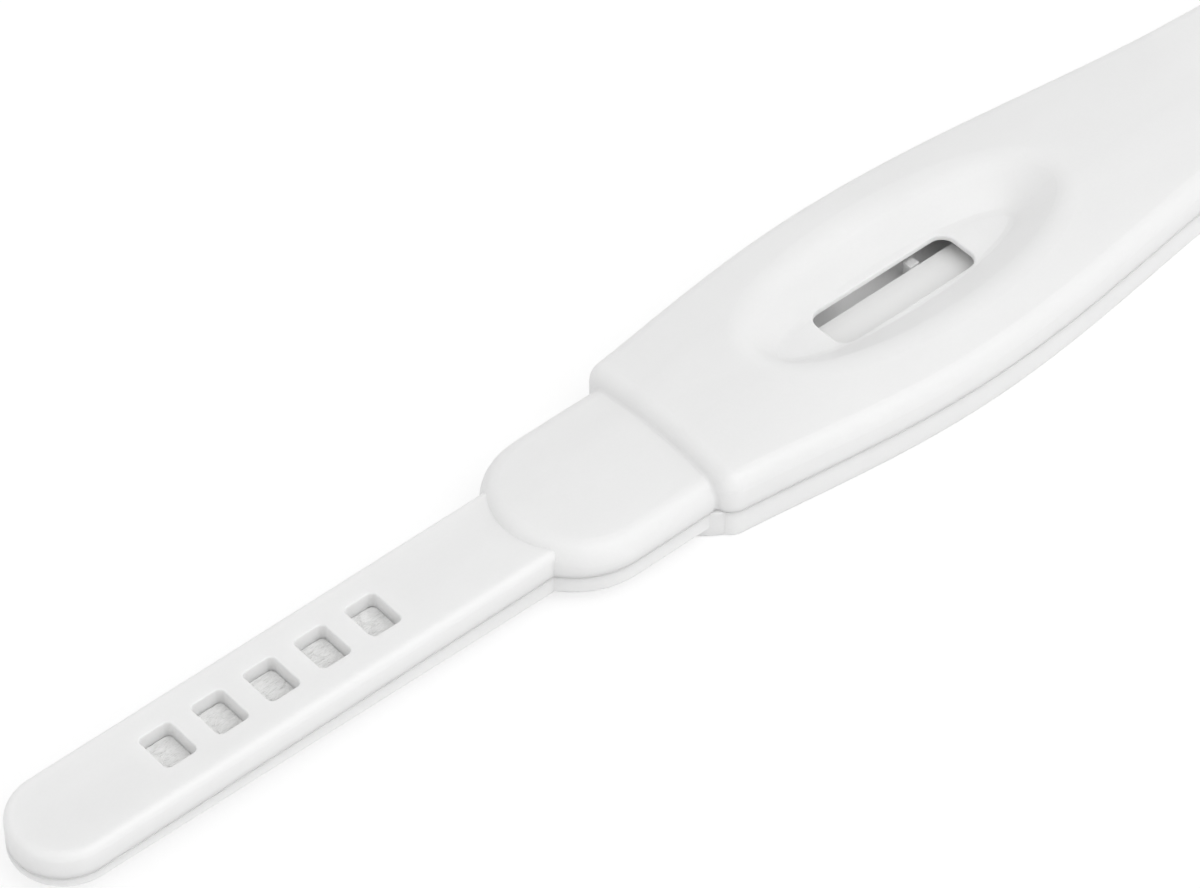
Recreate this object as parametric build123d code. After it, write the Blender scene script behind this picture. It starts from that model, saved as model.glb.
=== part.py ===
from build123d import *
import os

# Lateral flow test in its midstream stick form: two moulded shells round a wick and a test strip.
# Millimetres, +Z up, the tip of the sampling tongue towards -X and the handle towards +X.
# The origin is under the middle of the stick, on the surface that the body rests on.
# Places along the stick are given from the tip, and x_at() turns them into X.

# Outline of the body, seen from above
LENGTH = 145.0              # tip of the tongue to end of the handle
BODY_WIDTH = 22.9
WIDEST_AT = 89.5
SHOULDER_AT = 63.3          # front face of the body
SHOULDER_STEP = 1.25        # the shoulder is wider than the cap seat by this much on each side
SHOULDER_FLARE = 1.1        # slope of each side at the shoulder, over its mean slope to the widest place
SHOULDER_CORNER = 1.7       # radius of the two front corners
HANDLE_WIDTH = 15.9
HANDLE_STRAIGHT = 14.0      # length of the handle's straight sides and rounded end

# Cap seat, a bullet nosed platform in front of the body
SEAT_WIDTH = 15.0
SEAT_NOSE_AT = 47.4
SEAT_TOP = 6.15
SEAT_BOTTOM = 0.95

# Foot of the lower shell, which reaches forward under the cap seat on both sides
FOOT_REACH = 1.6            # in front of the shoulder
FOOT_TUCK = 0.75            # its front end is narrower than the seat by this much on each side
FOOT_RUN = 2.6              # behind the shoulder, where it has joined the body's side
FOOT_SLOPE = 0.95

# Roof of the body and of the cap seat: shallow arches both ways
CREST_HEIGHT = 7.75
CROWN_RADIUS = 34.0         # across the stick
ARCH_RADIUS = 700.0         # along the stick

# Sampling tongue
TONGUE_WIDTH = 9.0
TONGUE_TOP = 5.35
TIP_BOTTOM = 1.75           # the tongue is thinner at its tip
ROOT_BOTTOM = 0.75

# Edges of the moulding
BODY_EDGE = 1.6
SEAT_EDGE = 1.8
TONGUE_EDGE = 0.7
SEAT_JOINT = 0.4            # hollow rounding where the cap seat meets the shoulder
UNDER_EDGE = 0.4
PARTING_HEIGHT = 2.8
REVEAL_DEPTH = 0.05         # fine step in the upper shell along the parting line
REVEAL_HEIGHT = 0.06

# Shell walls
SIDE_WALL = 1.4
ROOF_WALL = 1.3
FLOOR_WALL = 1.3
ROOM_CORNER = 0.4           # smallest radius in the corners of the hollow

# Sampling windows over the wick
WINDOW_COUNT = 5
WINDOW_PITCH = 5.0
WINDOW_FIRST = 14.4
WINDOW_LENGTH = 3.0
WINDOW_WIDTH = 3.75
WINDOW_CORNER = 0.5
WINDOW_EDGE = 0.12

# Dished recess and the result slot in its floor
DISH_FLOOR = 4.75
DISH_FLOOR_AT = 89.8
DISH_FLOOR_LENGTH = 25.4
DISH_FLOOR_WIDTH = 5.5
DISH_FLARE_ALONG = 1.46     # growth of each half axis for each millimetre of height
DISH_FLARE_ACROSS = 1.72
DISH_LEAN = 0.4             # the handle end of the recess is the shallower one
DISH_RIM = 3.0
DISH_CREASE = 1.0
DISH_WALL = 1.1
SLOT_AT = 89.45
SLOT_LENGTH = 15.3
SLOT_WIDTH = 4.5
SLOT_CORNER = 1.3
SLOT_LIP = 0.5
SLOT_EDGE = 0.18

# Wick
WICK_START = 3.6
WICK_WIDTH = 6.0
WICK_THICKNESS = 1.25
WICK_BOTTOM = 2.5
WICK_OVERLAP = 6.5          # length of tail that lies on the conjugate pad
WICK_BEND = 2.2

# Test strip
STRIP_START = 68.0
STRIP_TO_END = 17.0         # from the strip's end to the end of the handle
STRIP_WIDTH = 4.0
STRIP_BOTTOM = 2.42
CARD_THICKNESS = 0.3
MEMBRANE_AT = 89.0
MEMBRANE_LENGTH = 25.0
MEMBRANE_THICKNESS = 0.2
CONJUGATE_THICKNESS = 0.5
ABSORBENT_THICKNESS = 0.8
PAD_OVERLAP = 2.0           # each pad lies on the membrane's end by this much

# What holds the wick and the strip
FIT_CLEARANCE = 0.1
RAIL_SPACING = 2.4
RAIL_WIDTH = 0.8
FRONT_POSTS = (8.0, 25.3)   # from the strip's start
BACK_POSTS = (0.25, 0.74)   # share of the way from the membrane's end to the strip's end
POST_LENGTH = 1.0
POST_WIDTH = 0.8
POST_RISE = 0.2             # the posts stand this far over the membrane
STOP_THICKNESS = 0.8
PRESS_THICKNESS = 0.8
PRESS_WIDTH = 3.0
PAD_PRESSES = (0.4, 0.77)    # share of the same way
WICK_PRESS_AT = 71.3
SEAT_PRESS_AT = 59.5
THROAT_ROOM = 0.4           # room over the wick where it enters the body

# Press pins of the upper shell in sockets of the lower one
PIN_DIAMETER = 1.5
PIN_CLEARANCE = 0.05
PIN_LENGTH = 1.2
SEAT_PIN_LENGTH = 0.9
SOCKET_ROOM = 0.2
PIN_BOSS = 3.2
PIN_TO_SIDE = 2.6           # from a pin's middle to the side of the seat, shoulder or handle
SEAT_PINS_AT = 57.0
FRONT_PINS_AT = 70.5
BACK_PINS_SHARE = 0.42      # share of the same way
HANDLE_PIN_TO_END = 8.5

# How far a cut runs past what it cuts, and how close two places are that count as one
PAST = 1.0
TOUCH = 0.01

# Levels and ends that follow from the sizes above
ABOVE = CREST_HEIGHT + 2 * PAST
SHOULDER_WIDTH = SEAT_WIDTH + 2 * SHOULDER_STEP
SHOULDER_SLOPE = SHOULDER_FLARE * (BODY_WIDTH - SHOULDER_WIDTH) / 2 / (WIDEST_AT - SHOULDER_AT)
WAIST_AT = LENGTH - HANDLE_STRAIGHT
ROOM_START = SHOULDER_AT + SIDE_WALL
TONGUE_ROOT = SEAT_NOSE_AT + SEAT_WIDTH / 2
STRIP_END = LENGTH - STRIP_TO_END
MEMBRANE_START = MEMBRANE_AT - MEMBRANE_LENGTH / 2
MEMBRANE_END = MEMBRANE_AT + MEMBRANE_LENGTH / 2
CARD_TOP = STRIP_BOTTOM + CARD_THICKNESS
MEMBRANE_TOP = CARD_TOP + MEMBRANE_THICKNESS
CONJUGATE_TOP = CARD_TOP + CONJUGATE_THICKNESS
ABSORBENT_TOP = CARD_TOP + ABSORBENT_THICKNESS
WICK_TOP = WICK_BOTTOM + WICK_THICKNESS
TAIL_TOP = CONJUGATE_TOP + WICK_THICKNESS
WICK_ROOM_WIDTH = WICK_WIDTH + 2 * FIT_CLEARANCE


def x_at(from_tip):
    """X of a place given from the tip of the tongue."""
    return from_tip - LENGTH / 2


def block(start, end, width, bottom, top, y=0.0):
    """Box between two places along the stick."""
    middle = Vector(x_at((start + end) / 2), y, (bottom + top) / 2)
    return Pos(middle) * Box(end - start, width, top - bottom)


def upright(along, y, diameter, bottom, top):
    """Round post between two heights."""
    return Pos(x_at(along), y, (bottom + top) / 2) * Cylinder(diameter / 2, top - bottom)


def profile(points, width):
    """Side view polygon, given from the tip, made a solid of this width."""
    outline = Polyline(*[(x_at(along), 0, up) for along, up in points], close=True)
    return extrude(make_face(outline), width / 2, dir=(0, 1, 0), both=True)


def roof(crest, crest_at):
    """Everything under an arched roof with its crest at this height and place. It is one large torus."""
    centre = Vector(x_at(crest_at), 0, crest - ARCH_RADIUS)
    return Pos(centre) * Rot(90, 0, 0) * Torus(ARCH_RADIUS - CROWN_RADIUS, CROWN_RADIUS)


def over_strip(share):
    """Place between the membrane's end and the strip's end."""
    return MEMBRANE_END + share * (STRIP_END - MEMBRANE_END)


def body_outline(inset=0.0):
    """Plan of the body, drawn in by inset: rounded shoulder, leaf shaped sides, waist and round end."""
    shoulder = Vector(x_at(SHOULDER_AT) + inset, SHOULDER_WIDTH / 2 - inset)
    widest = Vector(x_at(WIDEST_AT), BODY_WIDTH / 2 - inset)
    waist = Vector(x_at(WAIST_AT), HANDLE_WIDTH / 2 - inset)
    end_centre = Vector(x_at(LENGTH) - HANDLE_WIDTH / 2, 0)
    end_side = end_centre + Vector(0, HANDLE_WIDTH / 2 - inset)
    along = Vector(1, 0)
    half = [
        Line((shoulder.X, 0), shoulder),
        Spline(shoulder, widest, tangents=(Vector(1, SHOULDER_SLOPE), along)),
        Spline(widest, waist, tangents=(along, along)),
        Line(waist, end_side),
        CenterArc(end_centre, HANDLE_WIDTH / 2 - inset, 90, -90),
    ]
    plan = make_face(Curve() + half + [mirror(piece, about=Plane.XZ) for piece in half])
    corners = plan.vertices().group_by(Axis.X)[0].sort_by(Axis.Y)
    return fillet([corners[0], corners[-1]], max(SHOULDER_CORNER - inset, ROOM_CORNER))


def foot_outline():
    """Plan of the lower shell's foot, which fills the corner beside the cap seat."""
    front = Vector(x_at(SHOULDER_AT) - FOOT_REACH, SEAT_WIDTH / 2 - FOOT_TUCK)
    back = Vector(x_at(SHOULDER_AT) + FOOT_RUN, SHOULDER_WIDTH / 2 + SHOULDER_SLOPE * (FOOT_RUN - SIDE_WALL))
    side = Spline(front, back, tangents=(Vector(1, FOOT_SLOPE), Vector(1, SHOULDER_SLOPE)))
    ends = [Line((front.X, 0), front), Line(back, (back.X, 0))]
    half = [side, *ends]
    return make_face(Curve() + half + [mirror(piece, about=Plane.XZ) for piece in half])


def rounded_end_outline(start, width, end, inset):
    """Plan with a half round front end and straight sides that end inside the next piece."""
    radius = width / 2 - inset
    centre = x_at(start) + width / 2
    back = x_at(end) - inset
    straight = Pos((centre + back) / 2, 0) * Rectangle(back - centre, 2 * radius)
    return Pos(centre, 0) * Circle(radius) + straight


def seat_outline(inset=0.0):
    """Plan of the cap seat, which ends inside the body's front wall."""
    return rounded_end_outline(SEAT_NOSE_AT, SEAT_WIDTH, ROOM_START, inset)


def tongue_outline(inset=0.0):
    """Plan of the tongue, which ends inside the cap seat."""
    return rounded_end_outline(0, TONGUE_WIDTH, TONGUE_ROOT, inset)


def edge_loop(solid, direction, end=LENGTH + PAST):
    """Edges round the top or bottom face, without the one at the end hidden in the next piece."""
    face = solid.faces().sort_by(direction)[-1]
    return face.edges().filter_by(lambda edge: edge.center().X < x_at(end) - TOUCH)


def soften(shell, height, start, end, radius):
    """Round the edges at this height that lie wholly between two places along the stick."""

    def lies_there(edge):
        box = edge.bounding_box()
        level = abs(box.min.Z - height) < TOUCH and abs(box.max.Z - height) < TOUCH
        return level and box.min.X > x_at(start) - TOUCH and box.max.X < x_at(end) + TOUCH

    return fillet(shell.edges().filter_by(lies_there), radius)


def oval(length, width, height, lean=0.0):
    """Ellipse of the recess at this height."""
    return Pos(x_at(DISH_FLOOR_AT) + lean, 0, height) * Ellipse(length / 2, width / 2)


def dish(wall=0.0):
    """Flared recess round the slot. With a wall, it is the form that the shell has below."""
    rise = ABOVE - DISH_FLOOR
    floor = oval(DISH_FLOOR_LENGTH + 2 * wall, DISH_FLOOR_WIDTH + 2 * wall, DISH_FLOOR - wall)
    mouth_length = DISH_FLOOR_LENGTH + 2 * (DISH_FLARE_ALONG * rise + wall)
    mouth_width = DISH_FLOOR_WIDTH + 2 * (DISH_FLARE_ACROSS * rise + wall)
    mouth = oval(mouth_length, mouth_width, ABOVE - wall, DISH_LEAN * rise)
    return loft([floor, mouth], ruled=True)


def on_rim(edge):
    """True for the long closed edge where the recess leaves the roof."""
    box = edge.bounding_box()
    halfway_up = (DISH_FLOOR + CREST_HEIGHT) / 2
    return box.min.Z > halfway_up and DISH_FLOOR_LENGTH < box.size.X < 2 * DISH_FLOOR_LENGTH


def body_form():
    """Leaf shaped body with its foot, its crowned roof and the dished recess."""
    body = extrude(body_outline(), ABOVE) & roof(CREST_HEIGHT, WIDEST_AT)
    body = fillet(edge_loop(body, Axis.Z), BODY_EDGE)
    body += extrude(foot_outline(), PARTING_HEIGHT)
    body = fillet(edge_loop(body, -Axis.Z), UNDER_EDGE) - dish()
    floor_edge = body.faces().filter_by(Plane.XY).sort_by(Axis.Z)[-1].edges()
    body = fillet(floor_edge, DISH_CREASE)
    return fillet(body.edges().filter_by(on_rim), DISH_RIM)


def seat_form():
    """Platform that a cap would push onto, with a soft rounded nose."""
    seat = Pos(0, 0, SEAT_BOTTOM) * extrude(seat_outline(), ABOVE) & roof(SEAT_TOP, SHOULDER_AT)
    seat = fillet(edge_loop(seat, Axis.Z, ROOM_START), SEAT_EDGE)
    return fillet(edge_loop(seat, -Axis.Z, ROOM_START), UNDER_EDGE)


def tongue_form():
    """Flat tongue, thinner towards its round tip."""
    side_points = [(0, TIP_BOTTOM), (TONGUE_ROOT, ROOT_BOTTOM), (TONGUE_ROOT, TONGUE_TOP), (0, TONGUE_TOP)]
    tongue = extrude(tongue_outline(), ABOVE) & profile(side_points, SEAT_WIDTH)
    tongue = fillet(edge_loop(tongue, Axis.Z, TONGUE_ROOT), TONGUE_EDGE)
    return fillet(edge_loop(tongue, -Axis.Z, TONGUE_ROOT), UNDER_EDGE)


def whole_form():
    """Outside of the stick, with a hollow rounding where the cap seat meets the shoulder."""

    def at_joint(edge):
        box = edge.bounding_box()
        at_face = box.size.X < TOUCH and abs(box.center().X - x_at(SHOULDER_AT)) < TOUCH
        return at_face and box.min.Z > SEAT_BOTTOM + UNDER_EDGE and abs(box.center().Y) < SEAT_WIDTH / 2

    form = body_form() + seat_form()
    joint = form.edges().filter_by(at_joint)
    return fillet(joint, SEAT_JOINT) + tongue_form()


def slot():
    """Way through the floor of the recess, widened below so that only a thin lip is left."""
    plan = Pos(x_at(SLOT_AT), 0) * RectangleRounded(SLOT_LENGTH, SLOT_WIDTH, SLOT_CORNER)
    opening = Pos(0, 0, DISH_FLOOR - DISH_WALL) * extrude(plan, DISH_WALL + PAST)
    relief = Pos(0, 0, DISH_FLOOR - SLOT_LIP) * extrude(plan, SLOT_LIP - DISH_WALL, taper=-45)
    return opening + relief


def windows():
    """Openings in the tongue's top over the wick."""
    plan = RectangleRounded(WINDOW_LENGTH, WINDOW_WIDTH, WINDOW_CORNER)
    opening = Pos(0, 0, PARTING_HEIGHT) * extrude(plan, ABOVE)
    places = [WINDOW_FIRST + index * WINDOW_PITCH for index in range(WINDOW_COUNT)]
    return [Pos(x_at(place), 0) * opening for place in places]


def body_room(floor):
    """Hollow of the body inside its side wall, from a floor up."""
    return Pos(0, 0, floor) * extrude(body_outline(SIDE_WALL), ABOVE)


def seat_room(floor):
    """Hollow under the cap seat's roof."""
    ceiling = roof(SEAT_TOP - ROOF_WALL, SHOULDER_AT)
    return Pos(0, 0, floor) * extrude(seat_outline(SIDE_WALL), ABOVE) & ceiling


def pins():
    """Place, side and length of each press pin."""
    pairs = [
        (SEAT_PINS_AT, SEAT_WIDTH, SEAT_PIN_LENGTH),
        (FRONT_PINS_AT, SHOULDER_WIDTH, PIN_LENGTH),
        (over_strip(BACK_PINS_SHARE), HANDLE_WIDTH, PIN_LENGTH),
    ]
    places = [(LENGTH - HANDLE_PIN_TO_END, 0, PIN_LENGTH)]
    for along, width, length in pairs:
        y = width / 2 - PIN_TO_SIDE
        places += [(along, -y, length), (along, y, length)]
    return places


def reveal():
    """Fine step all round the upper shell, where it meets the lower one."""
    plan = body_outline(REVEAL_DEPTH) + seat_outline(REVEAL_DEPTH) + tongue_outline(REVEAL_DEPTH)
    around = Rectangle(LENGTH + BODY_WIDTH, 2 * BODY_WIDTH) - plan
    return Pos(0, 0, PARTING_HEIGHT) * extrude(around, REVEAL_HEIGHT)


def pressing_ribs():
    """Ribs that hang from the roof and hold the wick and the absorbent pad down."""
    feet = [(SEAT_PRESS_AT, WICK_TOP), (WICK_PRESS_AT, TAIL_TOP)]
    feet += [(over_strip(share), ABSORBENT_TOP) for share in PAD_PRESSES]
    return [block(along, along + PRESS_THICKNESS, PRESS_WIDTH, foot, ABOVE) for along, foot in feet]


def upper_housing(form):
    """Top shell: windows, recess and slot, and inside it the pressing ribs and the pins."""
    outside = split(form, bisect_by=Plane.XY.offset(PARTING_HEIGHT), keep=Keep.TOP)
    under = PARTING_HEIGHT - PAST
    ceiling = roof(CREST_HEIGHT - ROOF_WALL, WIDEST_AT)
    shell = outside - ((body_room(under) & ceiling) - dish(DISH_WALL)) - seat_room(under)
    shell -= block(WICK_START - FIT_CLEARANCE, TONGUE_ROOT, WICK_ROOM_WIDTH, under, WICK_TOP)
    shell -= block(SHOULDER_AT - PAST, ROOM_START + PAST, WICK_ROOM_WIDTH, under, WICK_TOP + THROAT_ROOM)
    shell -= windows()
    last_window = WINDOW_FIRST + (WINDOW_COUNT - 1) * WINDOW_PITCH + WINDOW_LENGTH / 2
    shell = soften(shell, TONGUE_TOP, WINDOW_FIRST - WINDOW_LENGTH / 2, last_window, WINDOW_EDGE)
    shell -= slot()
    shell = soften(shell, DISH_FLOOR, SLOT_AT - SLOT_LENGTH / 2, SLOT_AT + SLOT_LENGTH / 2, SLOT_EDGE)
    shell -= reveal()
    for rib in pressing_ribs():
        shell += rib & outside
    for along, y, length in pins():
        shell += upright(along, y, PIN_BOSS, PARTING_HEIGHT, ABOVE) & outside
        shell += upright(along, y, PIN_DIAMETER, PARTING_HEIGHT - length, PARTING_HEIGHT)
    return shell


def lower_housing(form):
    """Bottom shell: wick trough, strip rails, side posts, stops and the sockets."""
    shell = split(form, bisect_by=Plane.XY.offset(PARTING_HEIGHT), keep=Keep.BOTTOM)
    shell -= body_room(FLOOR_WALL)
    shell -= block(WICK_START - FIT_CLEARANCE, ROOM_START + PAST, WICK_ROOM_WIDTH, WICK_BOTTOM, ABOVE)
    post_places = [STRIP_START + along for along in FRONT_POSTS] + [over_strip(share) for share in BACK_POSTS]
    for side in (-1, 1):
        y = side * RAIL_SPACING / 2
        shell += block(STRIP_START, STRIP_END, RAIL_WIDTH, FLOOR_WALL, STRIP_BOTTOM, y)
        y = side * (STRIP_WIDTH / 2 + FIT_CLEARANCE + POST_WIDTH / 2)
        for along in post_places:
            shell += block(along, along + POST_LENGTH, POST_WIDTH, FLOOR_WALL, MEMBRANE_TOP + POST_RISE, y)
    stop = STRIP_END + FIT_CLEARANCE
    shell += block(stop, stop + STOP_THICKNESS, STRIP_WIDTH, FLOOR_WALL, MEMBRANE_TOP)
    stop = STRIP_START - FIT_CLEARANCE
    stop_top = STRIP_BOTTOM + CARD_THICKNESS / 2
    shell += block(stop - STOP_THICKNESS, stop, STRIP_WIDTH, FLOOR_WALL, stop_top)
    for along, y, length in pins():
        shell += upright(along, y, PIN_BOSS, FLOOR_WALL, PARTING_HEIGHT)
        bore = PIN_DIAMETER + 2 * PIN_CLEARANCE
        shell -= upright(along, y, bore, PARTING_HEIGHT - length - SOCKET_ROOM, PARTING_HEIGHT + PAST)
    return shell


def sampling_wick():
    """Felt wick: flat under the windows, then up and over the strip's first pad."""
    bend_start = STRIP_START - WICK_BEND
    bend_end = STRIP_START - FIT_CLEARANCE
    tail_end = STRIP_START + WICK_OVERLAP
    underside = [(WICK_START, WICK_BOTTOM), (bend_start, WICK_BOTTOM), (bend_end, CONJUGATE_TOP),
                 (tail_end, CONJUGATE_TOP)]
    topside = [(along, up + WICK_THICKNESS) for along, up in reversed(underside)]
    return profile(underside + topside, WICK_WIDTH)


def backing_card():
    """Plastic card under the whole strip."""
    return block(STRIP_START, STRIP_END, STRIP_WIDTH, STRIP_BOTTOM, CARD_TOP)


def test_membrane():
    """Sheet that shows the result under the slot."""
    return block(MEMBRANE_START, MEMBRANE_END, STRIP_WIDTH, CARD_TOP, MEMBRANE_TOP)


def end_pad(start, membrane_end, overlap_end, top):
    """Pad that lies on the card and, with its inner end, on the membrane."""
    points = [(start, CARD_TOP), (membrane_end, CARD_TOP), (membrane_end, MEMBRANE_TOP),
              (overlap_end, MEMBRANE_TOP), (overlap_end, top), (start, top)]
    return profile(points, STRIP_WIDTH)


def conjugate_pad():
    """Pad between the wick's tail and the membrane."""
    return end_pad(STRIP_START, MEMBRANE_START, MEMBRANE_START + PAD_OVERLAP, CONJUGATE_TOP)


def absorbent_pad():
    """Blotting pad at the handle end of the strip."""
    return end_pad(STRIP_END, MEMBRANE_END, MEMBRANE_END - PAD_OVERLAP, ABSORBENT_TOP)


def main():
    os.makedirs("parts", exist_ok=True)
    form = whole_form()
    pieces = {
        "upper_housing": upper_housing(form),
        "lower_housing": lower_housing(form),
        "sampling_wick": sampling_wick(),
        "conjugate_pad": conjugate_pad(),
        "test_membrane": test_membrane(),
        "absorbent_pad": absorbent_pad(),
        "backing_card": backing_card(),
    }
    for name, piece in pieces.items():
        export_step(piece, f"parts/{name}.step")


main()
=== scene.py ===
import math
import random

import bmesh
import bpy
from mathutils import Matrix, Vector


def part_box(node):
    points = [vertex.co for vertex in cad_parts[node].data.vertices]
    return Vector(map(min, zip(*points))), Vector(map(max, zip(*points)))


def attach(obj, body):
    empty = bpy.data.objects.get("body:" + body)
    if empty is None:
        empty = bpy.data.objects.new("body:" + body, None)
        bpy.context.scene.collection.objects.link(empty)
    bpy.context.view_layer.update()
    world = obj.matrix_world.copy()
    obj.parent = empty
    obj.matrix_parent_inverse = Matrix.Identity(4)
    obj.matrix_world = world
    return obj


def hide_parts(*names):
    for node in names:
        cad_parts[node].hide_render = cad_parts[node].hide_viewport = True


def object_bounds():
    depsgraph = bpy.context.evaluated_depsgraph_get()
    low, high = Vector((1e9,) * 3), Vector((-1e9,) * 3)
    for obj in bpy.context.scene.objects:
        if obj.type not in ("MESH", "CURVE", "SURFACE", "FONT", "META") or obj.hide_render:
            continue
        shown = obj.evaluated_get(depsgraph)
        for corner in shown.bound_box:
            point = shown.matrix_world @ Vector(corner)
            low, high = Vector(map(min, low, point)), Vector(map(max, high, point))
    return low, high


bl_info = {
    "name": "Lateral flow test stick",
    "version": (1, 0, 0),
    "blender": (4, 5, 0),
    "location": "3D View > Sidebar > Test stick",
    "description": "Finishes the moulded test stick, its felt wick and its test strip, and sets its stage",
    "category": "Object",
}

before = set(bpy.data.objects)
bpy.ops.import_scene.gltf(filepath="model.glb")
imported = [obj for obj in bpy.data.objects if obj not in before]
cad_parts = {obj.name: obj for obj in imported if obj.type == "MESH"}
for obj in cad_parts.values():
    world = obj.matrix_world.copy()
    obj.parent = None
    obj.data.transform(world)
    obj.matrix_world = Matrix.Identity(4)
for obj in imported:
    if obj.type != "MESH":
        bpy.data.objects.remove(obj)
CAD_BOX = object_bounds()

MM = 0.001
WHITE = (1.0, 1.0, 1.0)

# Two places this close count as one, and a vertex this near to a level counts as on it
TOUCH = 0.01 * MM
NEAR = 0.05 * MM

# Places and sizes that the pieces share, in metres in the frame of the solids
STICK_START = CAD_BOX[0][0]
SLOT_MIDDLE = STICK_START + 89.45 * MM
WINDOW_FIRST = STICK_START + 14.4 * MM
WINDOW_PITCH = 5 * MM
WINDOW_COUNT = 5
WINDOW_SIZE = Vector((3.0, 3.75)) * MM

# The wick rises from its trough onto the strip in a short bend that ends just before the card
WICK_THICKNESS = 1.25 * MM
WICK_BEND = 2.2 * MM
WICK_CLEARANCE = 0.1 * MM

# How the felt swells into each window: the part that rises whole, and how far its slope reaches
SWELL_MARGIN = 0.7 * MM
SWELL_REACH = 0.8 * MM

# Soft edges of felt and paper, and the angles that count as an edge
FELT_EDGE = 0.18 * MM
FELT_EDGE_ANGLE = math.radians(60)
SMOOTH_ANGLE = math.radians(30)

# Cells of the mesh, and size and depth of the lumps, for the wick and for the pads
WICK_CELL = 0.25 * MM
WICK_LUMPS = (0.5 * MM, 0.06 * MM)
PAD_CELL = 0.5 * MM
PAD_LUMPS = (0.6 * MM, 0.04 * MM)
PAD_FIBRE_DEPTH = 0.03 * MM

# One loose fibre, in widths of itself: half its length, and its two handles
STRAND_REACH = 20
STRAND_HANDLES = ((-7, 5, 0.6), (7, -4, 0.6))

# How the copies of the fibre lie, and the ranges that their length, waviness and height are drawn from
STRAND_TURN = math.radians(10)
STRAND_TILT = math.radians(2)
STRAND_MARGIN = 0.2 * MM
STRAND_LENGTHS = (0.4, 0.95)
STRAND_WAVES = (0.4, 1.3)
STRAND_LIFTS = (-0.02, 0.03)

# Noise is read between these two levels, where most of its values lie
NOISE_LOW = 0.3
NOISE_HIGH = 0.7

# Moulded skin: how stretched the flow marks are along the stick, the number of pits in a metre,
# their depth before they level off, and how far colour and roughness vary
FLOW_SCALE = (60.0, 160.0, 160.0)
PITS_IN_A_METRE = 900.0
PIT_DEPTH = 0.35
PIT_WEIGHT = 1.2
DARKEST_FLOW = 0.975
DARKEST_GRAIN = 0.985
ROUGHNESS_SWING = 0.05
PLASTIC_IOR = 1.53

# Turn in degrees and shift of each layer of the fibre mat, and the stretch of its noise along a fibre
FIBRE_LAYERS = ((8, 0.0), (-32, 0.013), (55, 0.029), (-72, 0.041))
FIBRE_STRETCH = (0.14, 1.0, 0.6)
FIBRE_IOR = 1.45
FIBRE_SHEEN = 0.2

# Faint lamps inside the body, one on each side of the strip
GLOW_TO_SIDE = 6 * MM
GLOW_HEIGHT = 4 * MM
GLOW_RADIUS = 1 * MM


# Sizes and colours that a user would change


class ShellFinish(bpy.types.PropertyGroup):
    """White plastic of the two moulded shells."""

    colour: bpy.props.FloatVectorProperty(
        name="Plastic", description="Colour of the moulded plastic", subtype="COLOR", size=3,
        min=0, max=1, default=(0.87, 0.87, 0.868))
    roughness: bpy.props.FloatProperty(
        name="Roughness", description="Dullness of the moulded skin", min=0, max=1, default=0.42)
    grain_size: bpy.props.FloatProperty(
        name="Grain size", description="Size of the fine grain left by the mould", unit="LENGTH",
        default=0.22 * MM, precision=5)
    grain_depth: bpy.props.FloatProperty(
        name="Grain depth", description="Depth of the fine grain", unit="LENGTH",
        default=0.0025 * MM, precision=6)
    scatter: bpy.props.FloatProperty(
        name="Scatter", description="How far light spreads under the skin", unit="LENGTH",
        default=1.0 * MM, precision=5)


class FeltFinish(bpy.types.PropertyGroup):
    """Bonded fibre of the wick, and the loose fibres in its windows."""

    colour: bpy.props.FloatVectorProperty(
        name="Felt", description="Colour of the fibres on top", subtype="COLOR", size=3,
        min=0, max=1, default=(0.95, 0.95, 0.945))
    # The colour between the fibres is painted shade: it darkens the felt where the mat lies low
    deep_colour: bpy.props.FloatVectorProperty(
        name="Felt gaps", description="Colour between the fibres", subtype="COLOR", size=3,
        min=0, max=1, default=(0.74, 0.74, 0.73))
    fibre_size: bpy.props.FloatProperty(
        name="Fibre size", description="Width of one strand of the mat", unit="LENGTH",
        default=0.16 * MM, precision=5)
    fibre_depth: bpy.props.FloatProperty(
        name="Fibre depth", description="Depth of the mat's surface", unit="LENGTH",
        default=0.03 * MM, precision=5)
    window_rise: bpy.props.FloatProperty(
        name="Window rise", description="How far the felt swells into each window", unit="LENGTH",
        default=0.05 * MM, precision=5)
    strands: bpy.props.IntProperty(
        name="Strands", description="Loose fibres in each window", min=0, default=34)
    strand_width: bpy.props.FloatProperty(
        name="Strand width", description="Thickness of a loose fibre", unit="LENGTH",
        default=0.04 * MM, precision=6)
    seed: bpy.props.IntProperty(
        name="Seed", description="Start of the random lay of the fibres", default=7)


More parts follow.
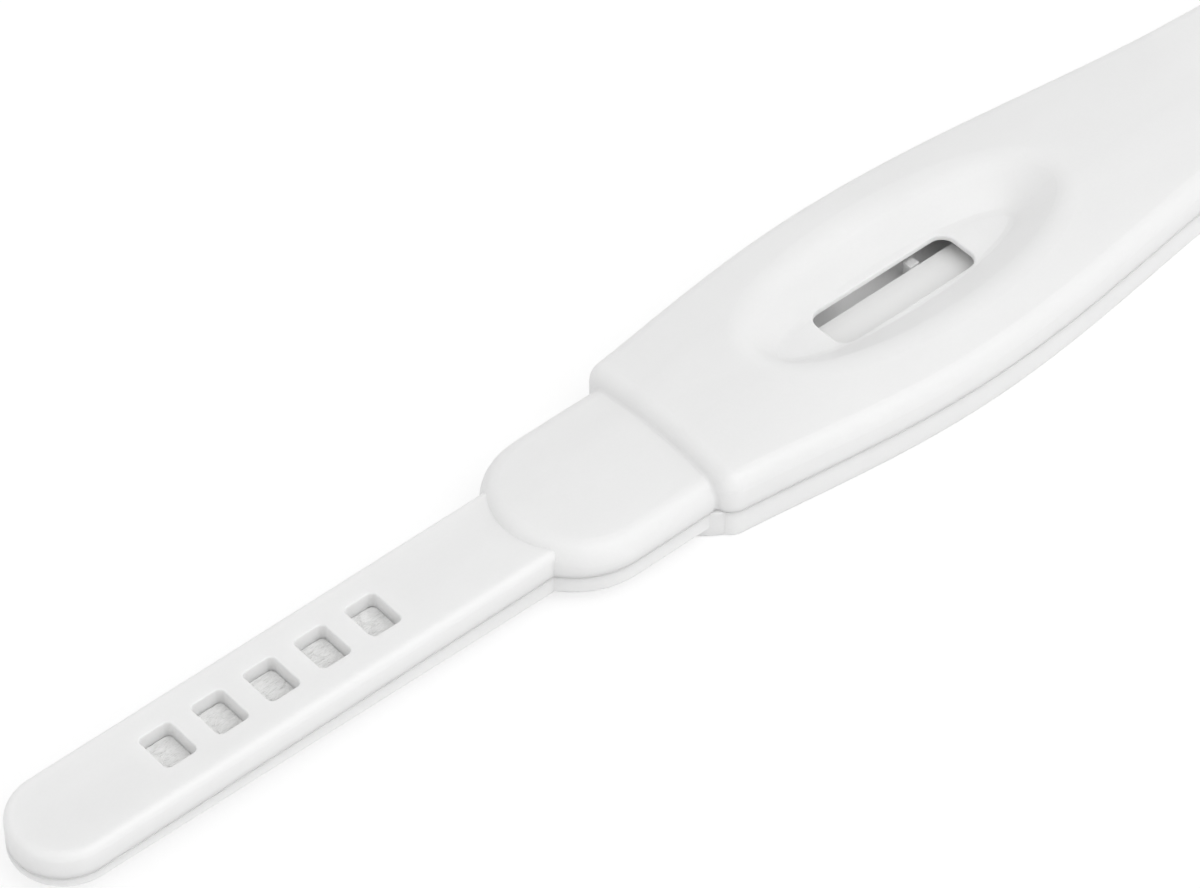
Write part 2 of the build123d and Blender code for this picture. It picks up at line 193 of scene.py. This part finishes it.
class StripFinish(bpy.types.PropertyGroup):
    """Card, membrane and pads of the test strip."""

    card_colour: bpy.props.FloatVectorProperty(
        name="Card", description="Colour of the plastic card", subtype="COLOR", size=3,
        min=0, max=1, default=(0.85, 0.85, 0.85))
    card_roughness: bpy.props.FloatProperty(
        name="Card roughness", description="Dullness of the plastic card", min=0, max=1, default=0.3)
    membrane_colour: bpy.props.FloatVectorProperty(
        name="Membrane", description="Colour of the result membrane", subtype="COLOR", size=3,
        min=0, max=1, default=(0.88, 0.88, 0.875))
    pore_size: bpy.props.FloatProperty(
        name="Pore size", description="Size of the membrane's pores", unit="LENGTH",
        default=0.06 * MM, precision=5)
    pore_depth: bpy.props.FloatProperty(
        name="Pore depth", description="Depth of the membrane's pores", unit="LENGTH",
        default=0.004 * MM, precision=6)
    conjugate_colour: bpy.props.FloatVectorProperty(
        name="Conjugate pad", description="Colour of the dyed glass fibre pad", subtype="COLOR", size=3,
        min=0, max=1, default=(0.78, 0.62, 0.62))
    conjugate_fibre: bpy.props.FloatProperty(
        name="Glass fibre size", description="Width of one strand of the glass fibre pad", unit="LENGTH",
        default=0.12 * MM, precision=5)
    absorbent_colour: bpy.props.FloatVectorProperty(
        name="Absorbent pad", description="Colour of the blotting pad", subtype="COLOR", size=3,
        min=0, max=1, default=(0.84, 0.84, 0.82))
    absorbent_fibre: bpy.props.FloatProperty(
        name="Paper fibre size", description="Width of one strand of the blotting pad", unit="LENGTH",
        default=0.2 * MM, precision=5)


class StageSettings(bpy.types.PropertyGroup):
    """Floor, lamps and camera."""

    camera_place: bpy.props.FloatVectorProperty(
        name="Camera", description="Place of the camera", subtype="TRANSLATION", size=3,
        default=(-0.20881, -0.22227, 0.31824), precision=5)
    camera_turn: bpy.props.FloatVectorProperty(
        name="Camera turn", description="Turn of the camera", subtype="EULER", size=3,
        default=(math.radians(43.5835), 0.0, math.radians(-41.1008)))
    lens: bpy.props.FloatProperty(
        name="Lens", description="Focal length", subtype="DISTANCE_CAMERA", default=163.53)
    clip_start: bpy.props.FloatProperty(
        name="Clip start", description="Nearest distance that the camera sees", unit="LENGTH", default=0.01)
    world_level: bpy.props.FloatProperty(
        name="World level", description="Even light from all round", min=0, default=0.75)
    key_place: bpy.props.FloatVectorProperty(
        name="Key place", description="Place of the large soft lamp", subtype="TRANSLATION", size=3,
        default=(0.2, -0.68, 0.93))
    key_size: bpy.props.FloatProperty(
        name="Key size", description="Side of the large soft lamp", unit="LENGTH", default=0.9)
    key_power: bpy.props.FloatProperty(
        name="Key power", description="Power of the large soft lamp", subtype="POWER", default=4.4)
    glow_power: bpy.props.FloatProperty(
        name="Glow power", description="Light inside the body, as what passes through its thin white walls",
        subtype="POWER", default=0.00005, precision=6)
    floor_size: bpy.props.FloatProperty(
        name="Floor size", description="Side of the floor", unit="LENGTH", default=4.0)
    floor_colour: bpy.props.FloatVectorProperty(
        name="Floor", description="Colour of the floor", subtype="COLOR", size=3,
        min=0, max=1, default=(0.93, 0.93, 0.93))
    shadow_share: bpy.props.FloatProperty(
        name="Shadow share", description="How much of the floor's own shading shows",
        min=0, max=1, default=0.35)
    floor_glow: bpy.props.FloatProperty(
        name="Floor glow", description="Level of the rest of the floor, where the camera sees it",
        min=0, default=1.1)


# Shader node groups and materials


def rgba(colour):
    """Colour with full alpha."""
    return (*colour, 1.0)


def new_group(name, inputs, outputs):
    """Empty shader node group with these sockets. Returns it with its input and output nodes."""
    group = bpy.data.node_groups.new(name, "ShaderNodeTree")
    for socket_name, kind, value in inputs:
        socket = group.interface.new_socket(socket_name, in_out="INPUT", socket_type=kind)
        socket.default_value = value
    for socket_name, kind in outputs:
        group.interface.new_socket(socket_name, in_out="OUTPUT", socket_type=kind)
    return group, group.nodes.new("NodeGroupInput"), group.nodes.new("NodeGroupOutput")


def node(tree, kind, inputs=(), **settings):
    """Node of this kind in the tree. Its inputs are given as sockets to link or as plain values."""
    made = tree.nodes.new(kind)
    for name, value in settings.items():
        setattr(made, name, value)
    for name, source in dict(inputs).items():
        if isinstance(source, bpy.types.NodeSocket):
            tree.links.new(source, made.inputs[name])
        else:
            made.inputs[name].default_value = source
    return made


def math_node(tree, operation, first, second=0.0):
    """Result of one sum on two values."""
    return node(tree, "ShaderNodeMath", {0: first, 1: second}, operation=operation).outputs[0]


def noise(tree, place, scale, **inputs):
    """Cloudy noise at this scale."""
    return node(tree, "ShaderNodeTexNoise", {"Vector": place, "Scale": scale, **inputs}).outputs["Fac"]


def spread(tree, value, low, high, from_low=NOISE_LOW, from_high=NOISE_HIGH):
    """Value between two levels turned into one between low and high."""
    levels = {"Value": value, "From Min": from_low, "From Max": from_high, "To Min": low, "To Max": high}
    return node(tree, "ShaderNodeMapRange", levels).outputs["Result"]


def moulded_skin_group():
    """Fine grain, pits and faint flow marks of moulded plastic."""
    group, given, out = new_group(
        "Moulded skin",
        [("Colour", "NodeSocketColor", (0.8, 0.8, 0.8, 1)), ("Roughness", "NodeSocketFloat", 0.4),
         ("Grain Size", "NodeSocketFloat", 0.2 * MM), ("Grain Depth", "NodeSocketFloat", 0.002 * MM)],
        [("Colour", "NodeSocketColor"), ("Roughness", "NodeSocketFloat"), ("Height", "NodeSocketFloat")])
    place = node(group, "ShaderNodeTexCoord").outputs["Object"]
    grain_scale = math_node(group, "DIVIDE", 1.0, given.outputs["Grain Size"])
    grain = noise(group, place, grain_scale, Detail=4.0, Roughness=0.6)
    drawn_out = node(group, "ShaderNodeMapping", {"Vector": place, "Scale": FLOW_SCALE})
    flow = noise(group, drawn_out.outputs["Vector"], 1.0, Detail=3.0, Distortion=0.6)
    cells = {"Vector": place, "Scale": PITS_IN_A_METRE, "Randomness": 1.0}
    pit = node(group, "ShaderNodeTexVoronoi", cells).outputs["Distance"]

    tint = math_node(group, "MULTIPLY", spread(group, flow, DARKEST_FLOW, 1.0),
                     spread(group, grain, DARKEST_GRAIN, 1.0))
    scaled = {0: given.outputs["Colour"], "Scale": tint}
    colour = node(group, "ShaderNodeVectorMath", scaled, operation="SCALE")
    group.links.new(colour.outputs["Vector"], out.inputs["Colour"])
    uneven = spread(group, flow, -ROUGHNESS_SWING, ROUGHNESS_SWING)
    group.links.new(math_node(group, "ADD", given.outputs["Roughness"], uneven), out.inputs["Roughness"])
    pits = math_node(group, "MULTIPLY", math_node(group, "MINIMUM", pit, PIT_DEPTH), PIT_WEIGHT)
    relief = math_node(group, "ADD", grain, pits)
    height = math_node(group, "MULTIPLY", relief, given.outputs["Grain Depth"])
    group.links.new(height, out.inputs["Height"])
    return group


def fibre_mat_group():
    """Crossing fibres of a felt or paper mat: thin ridges of stretched noise, laid in several ways, with
    painted shade in the low gaps between them.
    """
    group, given, out = new_group(
        "Fibre mat",
        [("Colour", "NodeSocketColor", (0.8, 0.8, 0.8, 1)),
         ("Deep Colour", "NodeSocketColor", (0.4, 0.4, 0.4, 1)),
         ("Fibre Size", "NodeSocketFloat", 0.1 * MM), ("Fibre Depth", "NodeSocketFloat", 0.03 * MM)],
        [("Colour", "NodeSocketColor"), ("Height", "NodeSocketFloat")])
    place = node(group, "ShaderNodeTexCoord").outputs["Object"]
    scale = math_node(group, "DIVIDE", 1.0, given.outputs["Fibre Size"])
    top = None
    for turn, shift in FIBRE_LAYERS:
        turned = node(group, "ShaderNodeMapping",
                      {"Vector": place, "Location": (shift, shift, 0), "Rotation": (0, 0, math.radians(turn)),
                       "Scale": FIBRE_STRETCH}).outputs["Vector"]
        strand = noise(group, turned, scale, Detail=2.0, Roughness=0.45, Distortion=0.35)
        from_ridge = math_node(group, "ABSOLUTE", math_node(group, "SUBTRACT", strand, 0.5))
        layer = math_node(group, "SUBTRACT", 1.0, math_node(group, "MULTIPLY", from_ridge, 6.0))
        top = layer if top is None else math_node(group, "MAXIMUM", top, layer)
    # The same ridges set both height and colour: where the mat lies low, between fibres, the darker colour is
    # mixed in as painted shade
    mat = spread(group, top, 0.0, 1.0, from_low=0.35, from_high=1.0)
    colour = node(group, "ShaderNodeMix", {"Factor": mat, "A": given.outputs["Deep Colour"],
                                           "B": given.outputs["Colour"]}, data_type="RGBA")
    group.links.new(colour.outputs["Result"], out.inputs["Colour"])
    height = math_node(group, "MULTIPLY", mat, given.outputs["Fibre Depth"])
    group.links.new(height, out.inputs["Height"])
    return group


def shared_group(name):
    """The node group of this name, built when it is first asked for."""
    if name in bpy.data.node_groups:
        return bpy.data.node_groups[name]
    return {"Moulded skin": moulded_skin_group, "Fibre mat": fibre_mat_group}[name]()


def material(name, ior, scatter=0.0, scatter_length=0.0):
    """New material with one Principled shader. Returns the material and its shader."""
    made = bpy.data.materials.new(name)
    made.use_nodes = True
    shader = made.node_tree.nodes["Principled BSDF"]
    shader.inputs["IOR"].default_value = ior
    shader.inputs["Subsurface Weight"].default_value = scatter
    shader.inputs["Subsurface Radius"].default_value = WHITE
    shader.inputs["Subsurface Scale"].default_value = scatter_length
    return made, shader


def feed_shader(made, shader, group_name, **values):
    """Places a shared group with its own values and feeds what it puts out into the shader."""
    tree = made.node_tree
    used = tree.nodes.new("ShaderNodeGroup")
    used.node_tree = shared_group(group_name)
    for name, value in values.items():
        used.inputs[name.replace("_", " ")].default_value = value
    tree.links.new(used.outputs["Colour"], shader.inputs["Base Color"])
    if "Roughness" in used.outputs:
        tree.links.new(used.outputs["Roughness"], shader.inputs["Roughness"])
    bump = node(tree, "ShaderNodeBump", {"Strength": 1.0, "Distance": 1.0, "Height": used.outputs["Height"]})
    tree.links.new(bump.outputs["Normal"], shader.inputs["Normal"])


def skin_material(name, colour, roughness, finish, scatter=0.0):
    """Moulded plastic of this colour."""
    made, shader = material(name, PLASTIC_IOR, scatter=scatter, scatter_length=finish.scatter)
    feed_shader(made, shader, "Moulded skin", Colour=rgba(colour), Roughness=roughness,
                Grain_Size=finish.grain_size, Grain_Depth=finish.grain_depth)
    return made


def fibre_material(name, colour, deep_colour, size, depth, roughness=0.92):
    """Felt, glass fibre, blotting paper or membrane, with a darker colour painted between its fibres as
    shade.
    """
    made, shader = material(name, FIBRE_IOR)
    shader.inputs["Roughness"].default_value = roughness
    shader.inputs["Specular IOR Level"].default_value = FIBRE_SHEEN
    feed_shader(made, shader, "Fibre mat", Colour=rgba(colour), Deep_Colour=rgba(deep_colour),
                Fibre_Size=size, Fibre_Depth=depth)
    return made


def dress(piece, made):
    """Gives the piece this one material."""
    piece.data.materials.clear()
    piece.data.materials.append(made)


def gap_shade_of(colour, share):
    """The same colour at a share of its level, painted into the gaps between fibres or pores as shade."""
    return [share * channel for channel in colour]


# Modelling helpers


def select_only(piece):
    """Selects this piece and no other, and makes it the active one."""
    bpy.ops.object.select_all(action="DESELECT")
    piece.select_set(True)
    bpy.context.view_layer.objects.active = piece


def block(name, low, high):
    """Starts a piece as a block between two corners, its place in its mesh."""
    bpy.ops.object.select_all(action="DESELECT")
    low, high = Vector(low), Vector(high)
    bpy.ops.mesh.primitive_cube_add(size=1, location=(low + high) / 2, scale=high - low)
    piece = bpy.context.active_object
    piece.name = piece.data.name = name
    bpy.ops.object.transform_apply(location=True, rotation=True, scale=True)
    return piece


def start_edit(piece, kind):
    """Opens a piece in edit mode with nothing selected."""
    select_only(piece)
    bpy.ops.object.mode_set(mode="EDIT")
    bpy.ops.mesh.select_mode(type=kind)
    bpy.ops.mesh.select_all(action="DESELECT")


def end_edit():
    """Goes back to object mode."""
    bpy.ops.object.mode_set(mode="OBJECT")


def pick(piece, part, test):
    """Selects the vertices, edges or faces that pass the test, and nothing else."""
    bpy.ops.mesh.select_all(action="DESELECT")
    form = bmesh.from_edit_mesh(piece.data)
    for item in getattr(form, part):
        if test(item):
            item.select_set(True)
    bmesh.update_edit_mesh(piece.data)


def runs_along(edge, axis):
    """True for an edge that lies along this axis."""
    way = edge.verts[1].co - edge.verts[0].co
    return abs(way[axis]) > 0.9 * way.length


def cut_up(piece, axis, cell):
    """Divides the edges along an axis into steps of about one cell, the longest edges first."""
    form = bmesh.from_edit_mesh(piece.data)
    lengths = {round(edge.calc_length(), 6) for edge in form.edges if runs_along(edge, axis)}
    for length in sorted(lengths, reverse=True):
        cuts = int(length / cell)
        if cuts:
            pick(piece, "edges", lambda e: runs_along(e, axis) and abs(e.calc_length() - length) < TOUCH)
            bpy.ops.mesh.subdivide(number_cuts=cuts)


def apply_modifiers(piece):
    """Applies every modifier of the piece."""
    select_only(piece)
    for modifier in list(piece.modifiers):
        bpy.ops.object.modifier_apply(modifier=modifier.name)


def roughen(piece, size, depth):
    """Pulls the surface in unevenly, as on a fibre mat."""
    clouds = bpy.data.textures.new(piece.name + "_lumps", "CLOUDS")
    clouds.noise_scale = size
    clouds.noise_depth = 2
    uneven = piece.modifiers.new("Lumps", "DISPLACE")
    uneven.texture = clouds
    uneven.texture_coords = "LOCAL"
    uneven.strength = depth
    uneven.mid_level = 1.0
    apply_modifiers(piece)


def smooth(piece):
    """Shades the piece smooth, apart from its sharp edges."""
    select_only(piece)
    bpy.ops.object.shade_smooth_by_angle(angle=SMOOTH_ANGLE)


def settle(piece, slot, *nodes):
    """Rides the piece on the stick and hides the solids that it replaces."""
    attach(piece, "root")
    if nodes:
        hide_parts(*nodes)


def fibre_slab(name, low, high, runs, cell):
    """Slab of felt: a block drawn out by runs from its +X end, with soft edges, cut into small cells."""
    piece = block(name, low, high)
    start_edit(piece, "FACE")
    for run in runs:
        end = max(f.calc_center_median().x for f in bmesh.from_edit_mesh(piece.data).faces)
        pick(piece, "faces", lambda f: f.calc_center_median().x > end - TOUCH and abs(f.normal.x) > 0.9)
        bpy.ops.mesh.extrude_region_move(TRANSFORM_OT_translate={"value": run})
    end_edit()
    softened = piece.modifiers.new("Soft edges", "BEVEL")
    softened.width = FELT_EDGE
    softened.segments = 2
    softened.limit_method = "ANGLE"
    softened.angle_limit = FELT_EDGE_ANGLE
    apply_modifiers(piece)
    start_edit(piece, "EDGE")
    for axis in (0, 1):
        cut_up(piece, axis, cell)
    end_edit()
    return piece


def window_middles():
    """X of the middle of each sampling window."""
    return [WINDOW_FIRST + index * WINDOW_PITCH for index in range(WINDOW_COUNT)]


# Operators, one for each piece or group of like pieces


class STICK_OT_shells(bpy.types.Operator):
    """Finishes the two moulded shells in satin white plastic"""

    bl_idname = "stick.shells"
    bl_label = "Finish shells"

    def execute(self, context):
        finish = context.scene.stick_shell
        plastic = skin_material("Satin white plastic", finish.colour, finish.roughness, finish, scatter=1.0)
        for name in ("upper_housing", "lower_housing"):
            dress(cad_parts[name], plastic)
        return {"FINISHED"}


class STICK_OT_wick(bpy.types.Operator):
    """Models the felt wick, which swells a little into each sampling window"""

    bl_idname = "stick.wick"
    bl_label = "Make wick"

    def execute(self, context):
        felt = context.scene.stick_felt
        low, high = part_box("sampling_wick")
        card_low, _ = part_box("backing_card")
        top = low.z + WICK_THICKNESS
        flat_end = card_low.x - WICK_BEND
        bend = Vector((WICK_BEND - WICK_CLEARANCE, 0, high.z - top))
        tail = Vector((high.x - flat_end - bend.x, 0, 0))
        piece = fibre_slab("felt_wick", low, (flat_end, high.y, top), (bend, tail), WICK_CELL)
        start_edit(piece, "VERT")
        half = WINDOW_SIZE / 2 - Vector((SWELL_MARGIN, SWELL_MARGIN))
        for middle in window_middles():
            pick(piece, "verts", lambda v: v.co.z > top - NEAR
                 and abs(v.co.x - middle) < half.x and abs(v.co.y) < half.y)
            bpy.ops.transform.translate(value=(0, 0, felt.window_rise), use_proportional_edit=True,
                                        proportional_edit_falloff="SMOOTH", proportional_size=SWELL_REACH)
        end_edit()
        roughen(piece, *WICK_LUMPS)
        smooth(piece)
        dress(piece, fibre_material("Felt", felt.colour, felt.deep_colour, felt.fibre_size, felt.fibre_depth))
        settle(piece, "wick_felt", "sampling_wick")
        return {"FINISHED"}


class STICK_OT_strands(bpy.types.Operator):
    """Lays loose fibres on the felt inside each sampling window"""

    bl_idname = "stick.strands"
    bl_label = "Lay loose fibres"

    def execute(self, context):
        felt = context.scene.stick_felt
        low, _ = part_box("sampling_wick")
        top = low.z + WICK_THICKNESS + felt.window_rise
        chance = random.Random(felt.seed)
        pattern = self.pattern()
        copies = []
        for middle in window_middles():
            for _ in range(felt.strands):
                copy = pattern.copy()
                copy.data = pattern.data.copy()
                copy.data.transform(self.lie(chance, felt, middle, top))
                context.collection.objects.link(copy)
                copies.append(copy)
        bpy.data.objects.remove(pattern)
        for copy in copies:
            copy.select_set(True)
        context.view_layer.objects.active = copies[0]
        bpy.ops.object.join()
        piece = context.active_object
        piece.name = piece.data.name = "wick_fibres"
        start_edit(piece, "FACE")
        bpy.ops.mesh.select_all(action="SELECT")
        bpy.ops.mesh.normals_make_consistent(inside=False)
        end_edit()
        smooth(piece)
        dress(piece, fibre_material("Loose fibres", felt.colour, felt.colour, felt.fibre_size,
                                    felt.fibre_depth / 4))
        settle(piece, "wick_felt")
        return {"FINISHED"}

    def pattern(self):
        """One fibre of unit width, slightly wavy, as a mesh."""
        bpy.ops.object.select_all(action="DESELECT")
        bpy.ops.curve.primitive_bezier_curve_add(radius=1)
        curve = bpy.context.active_object.data
        curve.bevel_depth = 0.5
        curve.bevel_resolution = 1
        curve.resolution_u = 5
        left, right = curve.splines[0].bezier_points
        left.co, right.co = (-STRAND_REACH, 0, 0), (STRAND_REACH, 0, 0)
        left.handle_right, right.handle_left = STRAND_HANDLES
        bpy.ops.object.convert(target="MESH")
        return bpy.context.active_object

    def lie(self, chance, felt, middle, top):
        """Random place, turn and size of one fibre inside a window. Most lie along the stick."""
        turn = chance.uniform(-1, 1) ** 3 * math.pi / 2 + STRAND_TURN
        reach = chance.uniform(*STRAND_LENGTHS)
        length = 2 * STRAND_REACH * felt.strand_width * reach
        room = WINDOW_SIZE / 2 - Vector((abs(math.cos(turn)), abs(math.sin(turn)))) * length / 2
        room -= Vector((STRAND_MARGIN, STRAND_MARGIN))
        place = Vector((middle + chance.uniform(-1, 1) * max(room.x, 0),
                        chance.uniform(-1, 1) * max(room.y, 0), top + chance.uniform(*STRAND_LIFTS) * MM))
        tilt = chance.uniform(-1, 1) * STRAND_TILT
        wave = chance.choice((-1, 1)) * chance.uniform(*STRAND_WAVES)
        size = Vector((reach, wave, 1)) * felt.strand_width
        turned = Matrix.Rotation(turn, 4, "Z") @ Matrix.Rotation(tilt, 4, "Y")
        return Matrix.Translation(place) @ turned @ Matrix.Diagonal((*size, 1))


class STICK_OT_strip(bpy.types.Operator):
    """Finishes the card and the membrane, and models the two pads of the test strip"""

    bl_idname = "stick.strip"
    bl_label = "Make test strip"

    def execute(self, context):
        strip = context.scene.stick_strip
        shell = context.scene.stick_shell
        dress(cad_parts["backing_card"],
              skin_material("Card plastic", strip.card_colour, strip.card_roughness, shell))
        # Between its pores the membrane gets 0.97 of its own colour: painted shade
        dress(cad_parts["test_membrane"],
              fibre_material("Membrane", strip.membrane_colour, gap_shade_of(strip.membrane_colour, 0.97),
                             strip.pore_size, strip.pore_depth, roughness=0.75))
        self.pad("conjugate_pad", "conjugate_fibre", strip.conjugate_colour, strip.conjugate_fibre)
        self.pad("absorbent_pad", "absorbent_paper", strip.absorbent_colour, strip.absorbent_fibre)
        return {"FINISHED"}

    def pad(self, name, slot, colour, fibre_size):
        """One pad on the card, stepped up where its inner end lies on the membrane."""
        low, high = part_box(name)
        membrane_low, membrane_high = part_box("test_membrane")
        piece = fibre_slab(name + "_mat", low, high, (), PAD_CELL)
        start = max(low.x, membrane_low.x) + NEAR
        end = min(high.x, membrane_high.x) - NEAR
        start_edit(piece, "VERT")
        pick(piece, "verts", lambda v: v.co.z < membrane_high.z - TOUCH and start < v.co.x < end)
        bpy.ops.transform.translate(value=(0, 0, membrane_high.z - low.z))
        end_edit()
        roughen(piece, *PAD_LUMPS)
        smooth(piece)
        title = name.replace("_", " ").capitalize() + " fibre"
        # The gaps between the pad's fibres get three quarters of its colour: painted shade
        dress(piece, fibre_material(title, colour, gap_shade_of(colour, 0.75), fibre_size, PAD_FIBRE_DEPTH))
        settle(piece, slot, name)


class STICK_OT_stage(bpy.types.Operator):
    """Sets the floor, the lamps, the world and the camera"""

    bl_idname = "stick.stage"
    bl_label = "Set stage"

    def execute(self, context):
        stage = context.scene.stick_stage
        self.floor(stage)
        self.world(stage)
        self.key(stage)
        for side in (-1, 1):
            self.glow((SLOT_MIDDLE, side * GLOW_TO_SIDE, GLOW_HEIGHT), stage.glow_power)
        bpy.ops.object.camera_add(location=stage.camera_place, rotation=stage.camera_turn)
        camera = context.active_object
        camera.data.lens = stage.lens
        camera.data.clip_start = stage.clip_start
        context.scene.camera = camera
        context.scene.view_settings.view_transform = "Standard"
        return {"FINISHED"}

    def floor(self, stage):
        """Flat floor at the height that the stick rests on."""
        bpy.ops.object.select_all(action="DESELECT")
        bpy.ops.mesh.primitive_plane_add(size=stage.floor_size, location=(0, 0, CAD_BOX[0][2]))
        floor = bpy.context.active_object
        floor.name = "floor"
        dress(floor, self.floor_material(stage))

    def floor_material(self, stage):
        """White floor that keeps a share of its own shading, so that the stick's shadow shows."""
        made = bpy.data.materials.new("White floor")
        made.use_nodes = True
        tree = made.node_tree
        tree.nodes.remove(tree.nodes["Principled BSDF"])
        matt = node(tree, "ShaderNodeBsdfDiffuse", {"Color": rgba(stage.floor_colour)})
        plain = node(tree, "ShaderNodeEmission", {"Color": rgba(WHITE), "Strength": stage.floor_glow})
        seen = node(tree, "ShaderNodeLightPath").outputs["Is Camera Ray"]
        share = math_node(tree, "MULTIPLY", seen, 1 - stage.shadow_share)
        mix = node(tree, "ShaderNodeMixShader", {0: share, 1: matt.outputs[0], 2: plain.outputs[0]})
        tree.links.new(mix.outputs[0], tree.nodes["Material Output"].inputs["Surface"])
        return made

    def world(self, stage):
        """Even pale light, and white where the camera or a reflection looks past the floor."""
        world = bpy.data.worlds.new("Studio")
        bpy.context.scene.world = world
        world.use_nodes = True
        tree = world.node_tree
        light = tree.nodes["Background"]
        light.inputs["Color"].default_value = rgba(WHITE)
        light.inputs["Strength"].default_value = stage.world_level
        white = node(tree, "ShaderNodeBackground", {"Color": rgba(WHITE), "Strength": 1.0})
        path = node(tree, "ShaderNodeLightPath")
        seen = math_node(tree, "MAXIMUM", path.outputs["Is Camera Ray"], path.outputs["Is Glossy Ray"])
        seen = math_node(tree, "MAXIMUM", seen, path.outputs["Is Transmission Ray"])
        mix = node(tree, "ShaderNodeMixShader", {0: seen, 1: light.outputs[0], 2: white.outputs[0]})
        tree.links.new(mix.outputs[0], tree.nodes["World Output"].inputs["Surface"])

    def key(self, stage):
        """Large square soft lamp that faces the stick."""
        turn = Vector(stage.key_place).to_track_quat("Z", "Y").to_euler()
        bpy.ops.object.light_add(type="AREA", location=stage.key_place, rotation=turn)
        lamp = bpy.context.active_object
        lamp.name = "soft_key"
        lamp.data.size = stage.key_size
        lamp.data.energy = stage.key_power

    def glow(self, place, power):
        """Faint round lamp inside the body."""
        bpy.ops.object.light_add(type="POINT", radius=GLOW_RADIUS, location=place)
        lamp = bpy.context.active_object
        lamp.name = "inner_glow"
        lamp.data.energy = power


class STICK_PT_panel(bpy.types.Panel):
    """Sizes, colours and buttons of the test stick"""

    bl_label = "Test stick"
    bl_idname = "STICK_PT_panel"
    bl_space_type = "VIEW_3D"
    bl_region_type = "UI"
    bl_category = "Test stick"

    def draw(self, context):
        for group in GROUPS:
            box = self.layout.box()
            settings = getattr(context.scene, group)
            for name in settings.bl_rna.properties.keys():
                if name not in ("rna_type", "name"):
                    box.prop(settings, name)
        for step in STEPS:
            self.layout.operator(step.bl_idname)


GROUPS = {
    "stick_shell": ShellFinish,
    "stick_felt": FeltFinish,
    "stick_strip": StripFinish,
    "stick_stage": StageSettings,
}
STEPS = (STICK_OT_shells, STICK_OT_wick, STICK_OT_strands, STICK_OT_strip, STICK_OT_stage)
CLASSES = (*GROUPS.values(), *STEPS, STICK_PT_panel)


def register():
    for kind in CLASSES:
        bpy.utils.register_class(kind)
    for name, kind in GROUPS.items():
        setattr(bpy.types.Scene, name, bpy.props.PointerProperty(type=kind))


def unregister():
    for name in GROUPS:
        delattr(bpy.types.Scene, name)
    for kind in reversed(CLASSES):
        bpy.utils.unregister_class(kind)


def main():
    """Builds the scene step by step."""
    register()
    bpy.ops.stick.shells()
    bpy.ops.stick.wick()
    bpy.ops.stick.strands()
    bpy.ops.stick.strip()
    bpy.ops.stick.stage()


if __name__ == "__main__":
    main()
